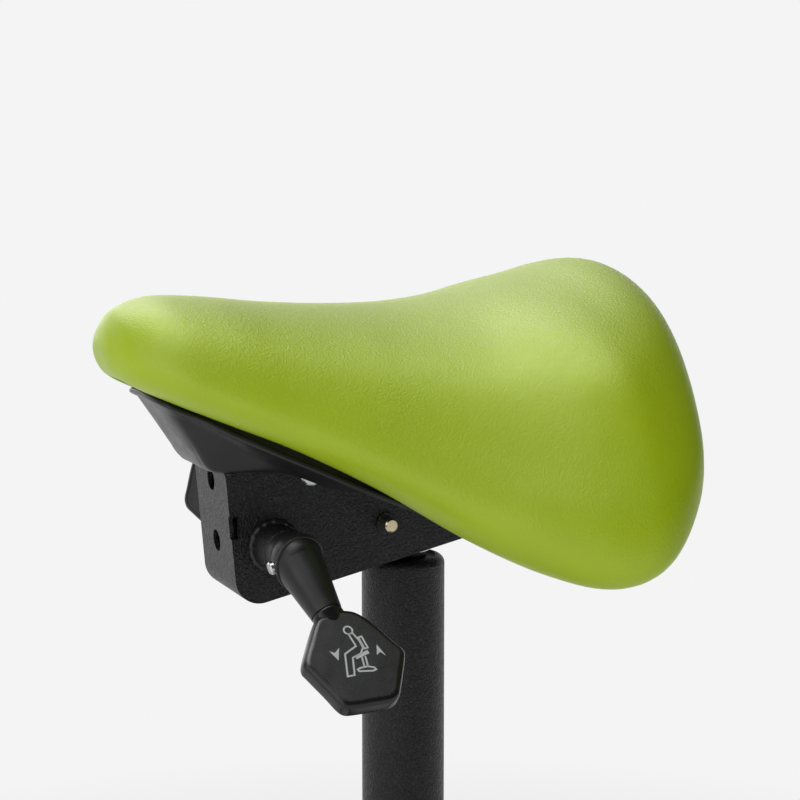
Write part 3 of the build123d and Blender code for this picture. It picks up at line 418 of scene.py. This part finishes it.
def padding_swell(y, height, rim, ridge):
    """How far the padding stands out at a place: a roll over the lower edge, then a shallow valley."""
    room = min(1.0, (ridge - rim) / SEAT_DROP)
    from_rim = height - rim
    roll = cos(min(abs(from_rim - BULGE_FROM_RIM * room) / BULGE_WIDTH, pi / 2))
    valley = cos(min(abs(from_rim - VALLEY_FROM_RIM * room) / VALLEY_WIDTH, pi / 2))
    ahead = min(max((BULGE_END_Y - y) / BULGE_FADE, 0.0), 1.0)
    return room ** 2 * (BULGE * ahead * roll - VALLEY * valley)


def wing_crown(y, turn):
    """How far the top of the wing stands up over the plain arch of its section."""
    along = cos(min(abs(y - CROWN_Y) / CROWN_REACH, 1.0) * pi / 2) ** 2
    return CROWN * along * sin(2 * turn) ** 2


def half_section(y, half, ridge, rim):
    """The section's +X half, from the ridge round the lower edge to the middle of the underside."""
    roll = min(SEAT_ROLL, SEAT_ROLL_SHARE * (ridge - rim), half / 2)
    low = rim + roll
    points = []
    for step in range(FLANK_STEPS):
        turn = pi / 2 * step / FLANK_STEPS
        height = low + (ridge - low) * cos(turn) ** SEAT_ARCH
        points.append((half * sin(turn) + padding_swell(y, height, rim, ridge) * sin(turn),
                       height + wing_crown(y, turn)))
    for step in range(ROLL_STEPS):
        turn = pi / 2 * step / ROLL_STEPS
        height = rim + roll * (1 - sin(turn))
        inset = SEAT_ROLL_WIDTH * roll * (1 - cos(turn))
        points.append((half - inset + padding_swell(y, height, rim, ridge) * cos(turn), height))
    inner = half - SEAT_ROLL_WIDTH * roll
    recess = min(max((half - RECESS_START) / RECESS_FADE, 0.0), 1.0)
    bed_z = rim + (max(BED_Z, rim + min(SEAT_ROLL, ridge - rim) / 2) - rim) * recess
    bed = BED_SHARE * half
    for step in range(UNDER_STEPS + 1):
        share = step / UNDER_STEPS
        points.append((inner + (bed - inner) * share, rim + (bed_z - rim) * share))
    points.append((0.0, bed_z))
    return points


def cushion():
    """The cushion's skin over the sections, in place of its solid."""
    rows = seat_rows()
    first, last = MIRRORED_ROWS, len(rows) - 1 - MIRRORED_ROWS
    count = (last - first) * CUSHION_STEPS
    rings = []
    for index in range(1, count):
        y, half, ridge, rim = spline_point(rows, first + index / CUSHION_STEPS)
        side = half_section(y, half, ridge, rim)
        left = [(-x, z) for x, z in side[-2:0:-1]]
        rings.append([(x, y, z) for x, z in side + left])
    poles = [(0.0, rows[place][0], rows[place][2]) for place in (first, last)]
    vertices, faces = close_rows(rings, *poles)
    piece = piece_from("vinyl_cushion", vertices, faces, finishes["green_vinyl"], "seat")
    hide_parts("seat_cushion")


cushion()


# Pan under the cushion

# Its lip (x, y, z), the edge of its floor (x, y, z) and its hole round the housing (x, y), front to rear
PAN_ROWS = [
    (0.0, -0.163, 0.4864, 0.0, -0.131, 0.4405, 0.0, -0.1235),
    (0.02, -0.162, 0.485, 0.012, -0.131, 0.4405, 0.015, -0.1235),
    (0.0335, -0.1565, 0.4822, 0.023, -0.1305, 0.4405, 0.029, -0.1235),
    (0.041, -0.1425, 0.4758, 0.0315, -0.1265, 0.4405, 0.032, -0.112),
    (0.052, -0.125, 0.467, 0.043, -0.090, 0.4385, 0.032, -0.088),
    (0.069, -0.090, 0.4505, 0.05, -0.060, 0.4275, 0.032, -0.058),
    (0.084, -0.050, 0.4325, 0.057, -0.030, 0.4255, 0.032, -0.028),
    (0.100, -0.010, 0.417, 0.063, 0.000, 0.4275, 0.032, 0.000),
    (0.116, 0.025, 0.404, 0.068, 0.028, 0.4275, 0.032, 0.022),
    (0.131, 0.055, 0.400, 0.070, 0.055, 0.427, 0.032, 0.040),
    (0.136, 0.080, 0.406, 0.066, 0.080, 0.428, 0.032, 0.053),
    (0.114, 0.105, 0.433, 0.052, 0.098, 0.433, 0.029, 0.056),
    (0.060, 0.122, 0.461, 0.028, 0.106, 0.4385, 0.015, 0.056),
    (0.0, 0.127, 0.471, 0.0, 0.108, 0.4405, 0.0, 0.056),
]
PAN_FLOOR_Z = MECH_Z + 0.0605
PAN_LIP = 0.0034
PAN_LIP_REACH = 0.0035
PAN_TONGUE = 0.006
PAN_WALL = 0.0025
PAN_CORNER = 0.008
PAN_CORNER_SHARE = 0.45
PAN_STEPS = 8
LIP_STEPS = 6
WALL_STEPS = 6
CORNER_STEPS = 8
FLOOR_STEPS = 3


def pan_loops():
    """The lip, the floor's edge and the hole as closed loops with the same count of points."""
    left = [(-row[0], *row[1:3], -row[3], *row[4:6], -row[6], row[7]) for row in PAN_ROWS[-2:0:-1]]
    smooth = smooth_loop(PAN_ROWS + left, PAN_STEPS)
    lip = [Vector(row[:3]) for row in smooth]
    edge = [Vector(row[3:6]) for row in smooth]
    hole = [Vector((row[6], row[7], PAN_FLOOR_Z)) for row in smooth]
    return lip, edge, hole


def pan_profile(lip, out, edge, hole):
    """Points from the tongue over the lip's bead, down the wall and round the corner to the hole."""
    bead = PAN_LIP / 2
    up = Vector((0.0, 0.0, 1.0))
    middle = lip - out * bead - up * bead
    points = [lip - out * PAN_LIP_REACH + up * PAN_TONGUE, lip - out * PAN_LIP_REACH]
    for step in range(LIP_STEPS + 1):
        turn = pi * step / LIP_STEPS
        points.append(middle + out * bead * sin(turn) + up * bead * cos(turn))
    top = lip - out * PAN_LIP_REACH - up * PAN_LIP
    cut = min(PAN_CORNER, PAN_CORNER_SHARE * (edge - top).length)
    start = edge + (top - edge).normalized() * cut
    end = edge + (hole - edge).normalized() * min(cut, PAN_CORNER_SHARE * (hole - edge).length)
    points += [top.lerp(start, step / WALL_STEPS) for step in range(WALL_STEPS)]
    for step in range(CORNER_STEPS):
        share = step / CORNER_STEPS
        points.append(start.lerp(edge, share).lerp(edge.lerp(end, share), share))
    points += [end.lerp(hole, step / FLOOR_STEPS) for step in range(FLOOR_STEPS + 1)]
    return points


def pan_shell():
    """The pan with its lip bead and rounded corner, in place of its solid."""
    lip, edge, hole = pan_loops()
    count = len(lip)
    profiles = []
    for index in range(count):
        ahead = lip[(index + 1) % count] - lip[index - 1]
        out = Vector((ahead.y, -ahead.x, 0.0)).normalized()
        profiles.append(pan_profile(lip[index], out, edge[index], hole[index]))
    rings = [list(ring) for ring in zip(*profiles)][::-1]
    vertices, faces = close_rows(rings)
    piece = piece_from("pan_shell", vertices, faces, finishes["black_plastic"], "seat")
    wall = piece.modifiers.new("wall", "SOLIDIFY")
    wall.thickness = PAN_WALL
    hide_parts("seat_pan")


pan_shell()


# Weld bead round the tilt boss

BEAD_RADIUS = 0.0027
BEAD_STEPS = 96
BEAD_SIDES = 10
BEAD_FULLNESS = 0.9
BEAD_PROUD = 0.3

# Count round the boss, height and start of each ripple along the bead
RIPPLES = [(17, 0.1, 0.0), (5, 0.12, 1.0), (29, 0.03, 0.0)]


def weld_bead():
    """Rippled bead in the corner between the boss and the housing's side."""
    rings = []
    for turn in full_turn(BEAD_STEPS):
        ripples = [height * sin(count * turn + start) for count, height, start in RIPPLES]
        radius = BEAD_RADIUS * (1 + sum(ripples))
        ring = []
        for round_turn in full_turn(BEAD_SIDES):
            x = HALF_HOUSING + radius * (BEAD_PROUD - BEAD_FULLNESS * sin(round_turn))
            out = BOSS_RADIUS + radius * BEAD_FULLNESS * cos(round_turn)
            ring.append((x, LOCK.y + out * cos(turn), LOCK.z + out * sin(turn)))
        rings.append(ring)
    vertices, faces = close_rows(rings + rings[:1])
    piece_from("weld_bead", vertices, faces, finishes["black_plastic"], "lift")


weld_bead()


# Frames of the levers

LEFT_SIDE = 1.0
RIGHT_SIDE = -1.0


def lever_frame(hinge, turn, elbow_x, side):
    """From a lever's own axes, along and across it and out of its face, to the stool's frame."""
    along = Vector((cos(LEVER_BEND), 0.0, -sin(LEVER_BEND)))
    out = Vector((sin(LEVER_BEND), 0.0, cos(LEVER_BEND)))
    axes = Matrix((along, Vector((0.0, 1.0, 0.0)), out)).transposed().to_4x4()
    elbow = Matrix.Translation((elbow_x, 0.0, 0.0)) @ axes @ Matrix.Rotation(PADDLE_TWIST, 4, "X")
    facing = Matrix.Diagonal((side, 1.0, 1.0, 1.0))
    return Matrix.Translation(hinge) @ Matrix.Rotation(turn, 4, "X") @ facing @ elbow


tilt_frame = lever_frame(LOCK, TILT_TURN, TILT_ELBOW_X, LEFT_SIDE)
height_frame = lever_frame(AXLE, HEIGHT_TURN, HEIGHT_ELBOW_X, RIGHT_SIDE)


# Rims round the upper ends of the lever sleeves

RIM_ALONG = 0.0042
RIM_SLANT = 0.0087
RIM_BEAD = 0.001
RIM_STEPS = 64


def sleeve_radius(along):
    """Radius of a lever's sleeve, round behind its elbow and tapered ahead of it."""
    if along < 0:
        return (SLEEVE_RADIUS ** 2 - along ** 2) ** 0.5
    return SLEEVE_RADIUS + (SLEEVE_END_RADIUS - SLEEVE_RADIUS) * along / SLEEVE_LENGTH


def sleeve_rim(name, place, side):
    """Slanted bead round a sleeve, nearer to the elbow on the side that the paddle faces."""
    rings = []
    for turn in full_turn(RIM_STEPS):
        centre = RIM_ALONG - RIM_SLANT * sin(turn)
        ring = []
        for round_turn in full_turn(BEAD_SIDES):
            out = sleeve_radius(centre) + RIM_BEAD * cos(round_turn)
            ahead = centre - side * RIM_BEAD * sin(round_turn)
            ring.append(place @ Vector((ahead, out * cos(turn), out * sin(turn))))
        rings.append(ring)
    vertices, faces = close_rows(rings + rings[:1])
    piece_from(name + "_rim", vertices, faces, finishes["black_plastic"], name)


sleeve_rim("tilt_lever", tilt_frame, LEFT_SIDE)
sleeve_rim("height_lever", height_frame, RIGHT_SIDE)


# Paddles of the levers, in metres along and across the lever

PADDLE_OUTLINE = [
    (0.0405, -0.0045), (0.0424, -0.0106), (0.055, -0.0215), (0.0622, -0.0272), (0.0662, -0.0289),
    (0.0705, -0.0278), (0.084, -0.0235), (0.0925, -0.0211), (0.0967, -0.0186), (0.0985, -0.0135),
    (0.1005, -0.001), (0.1016, 0.007), (0.0998, 0.0123), (0.0955, 0.0158), (0.0885, 0.0208),
    (0.079, 0.0272), (0.0747, 0.0284), (0.0704, 0.0265), (0.061, 0.0228), (0.052, 0.0188),
    (0.0455, 0.0146), (0.0424, 0.0106), (0.0405, 0.0045),
]
PADDLE_MIDDLE = (0.072, 0.0)
PADDLE_EDGE = 0.0035
PADDLE_FLAT = 0.0006
PADDLE_STEPS = 5
EDGE_STEPS = 6

# Places along the tang and the neck, with their half width and half height
NECK = [
    (0.0245, 0.0059, 0.0059), (0.0379, 0.0059, 0.0059), (0.038, 0.0087, 0.0087),
    (0.0395, 0.009, 0.0079), (0.042, 0.0096, 0.0069), (0.046, 0.0104, 0.0061),
    (0.05, 0.0108, 0.0056),
]
NECK_STEPS = 40


def blade_rows():
    """Rows round the paddle from its back to its face, and the middles of both."""
    loop = [Vector(row) for row in smooth_loop(PADDLE_OUTLINE, PADDLE_STEPS)]
    middle = Vector(PADDLE_MIDDLE)
    turns = [pi / 2 * step / EDGE_STEPS for step in range(EDGE_STEPS + 1)]
    flat = PADDLE_FACE - PADDLE_EDGE
    front = [(PADDLE_EDGE * (1 - cos(turn)), flat + PADDLE_EDGE * sin(turn)) for turn in turns]
    front.append((PADDLE_EDGE + PADDLE_FLAT, PADDLE_FACE))
    back = [(inset, -height) for inset, height in front[::-1]]
    rows = []
    for inset, height in back + front:
        inner = [point + (middle - point).normalized() * inset for point in loop]
        rows.append([(*point, height) for point in inner])
    return rows, [(*PADDLE_MIDDLE, -PADDLE_FACE), (*PADDLE_MIDDLE, PADDLE_FACE)]


def neck_rows():
    """Rows along the tang in the sleeve and the neck into the paddle, and the middles of both ends."""
    rows = []
    for along, width, height in NECK:
        rows.append([(along, width * cos(turn), height * sin(turn)) for turn in full_turn(NECK_STEPS)])
    return rows, [(NECK[0][0], 0.0, 0.0), (NECK[-1][0], 0.0, 0.0)]


def lever_paddle(name, node, place, side):
    """A paddle with its neck, in place of its solid."""
    slot = "gloss_black_plastic"
    vertices, faces = [], []
    for rows, middles in (blade_rows(), neck_rows()):
        if side == RIGHT_SIDE:
            rows, middles = rows[::-1], middles[::-1]
        points, skin = close_rows(rows, *middles)
        faces += [tuple(len(vertices) + index for index in face) for face in skin]
        vertices += [place @ Vector(point) for point in points]
    piece = piece_from(name + "_blade", vertices, faces, finishes[slot], name)
    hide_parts(node)


lever_paddle("tilt_lever", "tilt_paddle", tilt_frame, LEFT_SIDE)
lever_paddle("height_lever", "height_paddle", height_frame, RIGHT_SIDE)


# Functional figure on the tilt paddle, in metres along and across the lever

STROKE = 0.0005
PAD_STROKE = 0.0011
MITRE_LIMIT = 0.5
FIGURE_LIFT = 0.00006
HEAD = (0.0546, 0.0034)
HEAD_RADIUS = 0.0024
HEAD_STEPS = 28
BODY = [(0.057, 0.0025), (0.065, 0.003), (0.0675, -0.005), (0.0805, -0.01), (0.081, -0.006),
        (0.071, -0.002), (0.07, 0.0035), (0.067, 0.0063), (0.0625, 0.0063), (0.057, 0.005)]
ARM = [(0.0605, 0.0068), (0.0605, 0.0088), (0.068, 0.0088), (0.068, 0.0068)]
PAD = [(0.0715, -0.0005), (0.0703, 0.008)]
POSTS = [[(0.0722, 0.003), (0.0783, 0.0015)], [(0.0722, 0.005), (0.0787, 0.0035)]]
FOOT = [(0.0785, -0.0028), (0.078, -0.001), (0.0785, 0.0035), (0.0803, 0.0066), (0.0816, 0.007),
        (0.0819, 0.005), (0.0804, 0.0001), (0.0797, -0.0025)]
DARTS = [[(0.07, -0.0102), (0.063, -0.0126), (0.0651, -0.01), (0.063, -0.0064)],
         [(0.0678, 0.0144), (0.076, 0.0162), (0.0727, 0.0142), (0.0737, 0.0115)]]


def stroke(points, half, closed):
    """Corners of a ribbon along a line, with mitred bends."""
    line = [Vector(point) for point in points]
    sides = []
    for index, point in enumerate(line):
        last = index == len(line) - 1
        ahead = line[(index + 1) % len(line)] - point if closed or not last else point - line[index - 1]
        behind = point - line[index - 1] if closed or index else ahead
        normal = (ahead.normalized() + behind.normalized()).orthogonal().normalized()
        square = ahead.orthogonal().normalized()
        reach = half / max(abs(normal.dot(square)), MITRE_LIMIT)
        sides.append((point + normal * reach, point - normal * reach))
    return sides


def outward(face, flat):
    """The face with its corners in the order that makes it look out of the paddle."""
    corners = [flat[index] for index in face]
    area = sum(a[0] * b[1] - b[0] * a[1] for a, b in zip(corners, corners[1:] + corners[:1]))
    return face if area > 0 else face[::-1]


def lever_figure():
    """Seated figure with two darts, as flat ribbons just off the paddle's face."""
    head = []
    for turn in full_turn(HEAD_STEPS):
        head.append((HEAD[0] + HEAD_RADIUS * cos(turn), HEAD[1] + HEAD_RADIUS * sin(turn)))
    lines = [(head, STROKE, True), (BODY, STROKE, True), (ARM, STROKE, True), (FOOT, STROKE, True),
             (PAD, PAD_STROKE, False), (POSTS[0], STROKE, False), (POSTS[1], STROKE, False)]
    flat, faces = [], []
    for points, half, closed in lines:
        start = len(flat)
        sides = stroke(points, half, closed)
        flat += [corner for pair in sides for corner in pair]
        for index in range(len(sides) if closed else len(sides) - 1):
            here, there = start + 2 * index, start + 2 * ((index + 1) % len(sides))
            faces.append((here, here + 1, there + 1, there))
    for dart in DARTS:
        faces.append(tuple(range(len(flat), len(flat) + len(dart))))
        flat += dart
    vertices = [tilt_frame @ Vector((x, y, PADDLE_FACE + FIGURE_LIFT)) for x, y in flat]
    faces = [outward(face, flat) for face in faces]
    piece_from("lever_figure", vertices, faces, figure_ink(), "tilt_lever")


lever_figure()


# Stage, light and camera

CAMERA_PLACE = Vector((1.0879, -0.4638, 0.6274))
CAMERA_AZIMUTH = radians(23.0)
CAMERA_PITCH = radians(7.5)
CAMERA_LENS = 90.0
CAMERA_SENSOR = 36.0
CAMERA_REACH = 100.0
FLOOR_HALF = 30.0
FLOOR_COLOUR = (0.8, 0.8, 0.8, 1.0)
FLOOR_NEAR = 0.35
FLOOR_FAR = 0.8
FLOOR_GLOW = 0.75
BACKDROP = (0.905, 0.905, 0.905, 1.0)
WHITE = (1.0, 1.0, 1.0, 1.0)

# Slopes of the light from around: axis, where on it the slope starts and ends, strength at both
AMBIENT = ("Y", -0.6, 0.5, 0.42, 0.05)
PANEL = ("X", 0.42, 0.08, 0.03, 7.5)
PANEL_EDGES = [("Y", 0.42, 0.02, 0.02, 1.0), ("Y", -0.6, -0.2, 0.2, 1.0), ("Z", 0.4, 1.0, 0.2, 1.0)]
FAR_WALL = ("X", -0.3, -0.7, 0.0, 1.0)

# Name, place, size in metres and power in watts of each lamp
LAMPS = [
    ("key", (0.75, -0.95, 2.1), 1.2, 9.0),
    ("top", (-0.5, 0.2, 2.2), 1.6, 2.0),
    ("low", (0.7, -1.3, 0.8), 1.0, 5.5),
]


def floor():
    """Pale floor that keeps the object's shadow and runs into the background."""
    signs = [(-1, -1), (1, -1), (1, 1), (-1, 1)]
    corners = [(x * FLOOR_HALF, y * FLOOR_HALF, 0) for x, y in signs]
    mesh = bpy.data.meshes.new("floor")
    mesh.from_pydata(corners, [], [(0, 1, 2, 3)])
    material = bpy.data.materials.new("floor")
    material.use_nodes = True
    tree = material.node_tree
    tree.nodes.clear()
    matte = add_node(tree, "ShaderNodeBsdfDiffuse")
    matte.inputs["Color"].default_value = FLOOR_COLOUR
    glow = add_node(tree, "ShaderNodeEmission")
    glow.inputs["Color"].default_value = BACKDROP
    place = add_node(tree, "ShaderNodeTexCoord")
    distance = add_node(tree, "ShaderNodeVectorMath", operation="LENGTH")
    fade = add_node(tree, "ShaderNodeMapRange")
    set_range(fade, FLOOR_NEAR, FLOOR_FAR, FLOOR_GLOW, 1.0)
    mix = add_node(tree, "ShaderNodeMixShader")
    output = add_node(tree, "ShaderNodeOutputMaterial")
    tree.links.new(place.outputs["Object"], distance.inputs["Vector"])
    tree.links.new(distance.outputs["Value"], fade.inputs["Value"])
    tree.links.new(fade.outputs["Result"], mix.inputs["Fac"])
    tree.links.new(matte.outputs["BSDF"], mix.inputs[1])
    tree.links.new(glow.outputs["Emission"], mix.inputs[2])
    tree.links.new(mix.outputs["Shader"], output.inputs["Surface"])
    mesh.materials.append(material)
    piece = bpy.data.objects.new("floor", mesh)
    bpy.context.scene.collection.objects.link(piece)


def surroundings():
    """Studio light, brighter from the front, a pale background and a bright panel in reflections."""
    world = bpy.data.worlds.new("studio")
    world.use_nodes = True
    tree = world.node_tree
    tree.nodes.clear()
    direction = add_node(tree, "ShaderNodeTexCoord")
    parts = add_node(tree, "ShaderNodeSeparateXYZ")
    tree.links.new(direction.outputs["Generated"], parts.inputs["Vector"])

    def slope(axis, start, end, low, high):
        share = add_node(tree, "ShaderNodeMapRange", interpolation_type="SMOOTHSTEP")
        set_range(share, start, end, low, high)
        tree.links.new(parts.outputs[axis], share.inputs["Value"])
        return share.outputs["Result"]

    def sky(strength):
        background = add_node(tree, "ShaderNodeBackground")
        background.inputs["Color"].default_value = WHITE
        tree.links.new(strength, background.inputs["Strength"])
        return background

    panel = slope(*PANEL)
    for edge in PANEL_EDGES:
        narrowed = add_node(tree, "ShaderNodeMath", operation="MULTIPLY")
        tree.links.new(panel, narrowed.inputs[0])
        tree.links.new(slope(*edge), narrowed.inputs[1])
        panel = narrowed.outputs["Value"]
    bright = add_node(tree, "ShaderNodeMath", operation="ADD")
    tree.links.new(panel, bright.inputs[0])
    tree.links.new(slope(*FAR_WALL), bright.inputs[1])
    shown = add_node(tree, "ShaderNodeBackground")
    shown.inputs["Color"].default_value = BACKDROP
    path = add_node(tree, "ShaderNodeLightPath")
    last = sky(slope(*AMBIENT))
    for ray, other in (("Is Glossy Ray", sky(bright.outputs["Value"])), ("Is Camera Ray", shown)):
        mix = add_node(tree, "ShaderNodeMixShader")
        tree.links.new(path.outputs[ray], mix.inputs["Fac"])
        tree.links.new(last.outputs[0], mix.inputs[1])
        tree.links.new(other.outputs["Background"], mix.inputs[2])
        last = mix
    output = add_node(tree, "ShaderNodeOutputWorld")
    tree.links.new(last.outputs["Shader"], output.inputs["Surface"])
    bpy.context.scene.world = world


def softbox(name, place, size, power):
    """Square area lamp that points at the seat."""
    lamp = bpy.data.lights.new(name, "AREA")
    lamp.size = size
    lamp.energy = power
    holder = bpy.data.objects.new(name, lamp)
    holder.location = place
    aim = Vector((0.0, 0.0, SEAT_Z)) - holder.location
    holder.rotation_mode = "QUATERNION"
    holder.rotation_quaternion = aim.to_track_quat("-Z", "Y")
    bpy.context.scene.collection.objects.link(holder)


def camera():
    """Long lens at the photograph's angle."""
    lens = bpy.data.cameras.new("camera")
    lens.lens = CAMERA_LENS
    lens.sensor_width = CAMERA_SENSOR
    lens.clip_end = CAMERA_REACH
    holder = bpy.data.objects.new("camera", lens)
    holder.location = CAMERA_PLACE
    level = cos(CAMERA_PITCH)
    look = Vector((-cos(CAMERA_AZIMUTH) * level, sin(CAMERA_AZIMUTH) * level, -sin(CAMERA_PITCH)))
    holder.rotation_mode = "QUATERNION"
    holder.rotation_quaternion = look.to_track_quat("-Z", "Y")
    bpy.context.scene.collection.objects.link(holder)
    bpy.context.scene.camera = holder


floor()
surroundings()
for lamp_values in LAMPS:
    softbox(*lamp_values)
camera()
bpy.context.scene.view_settings.view_transform = "Standard"
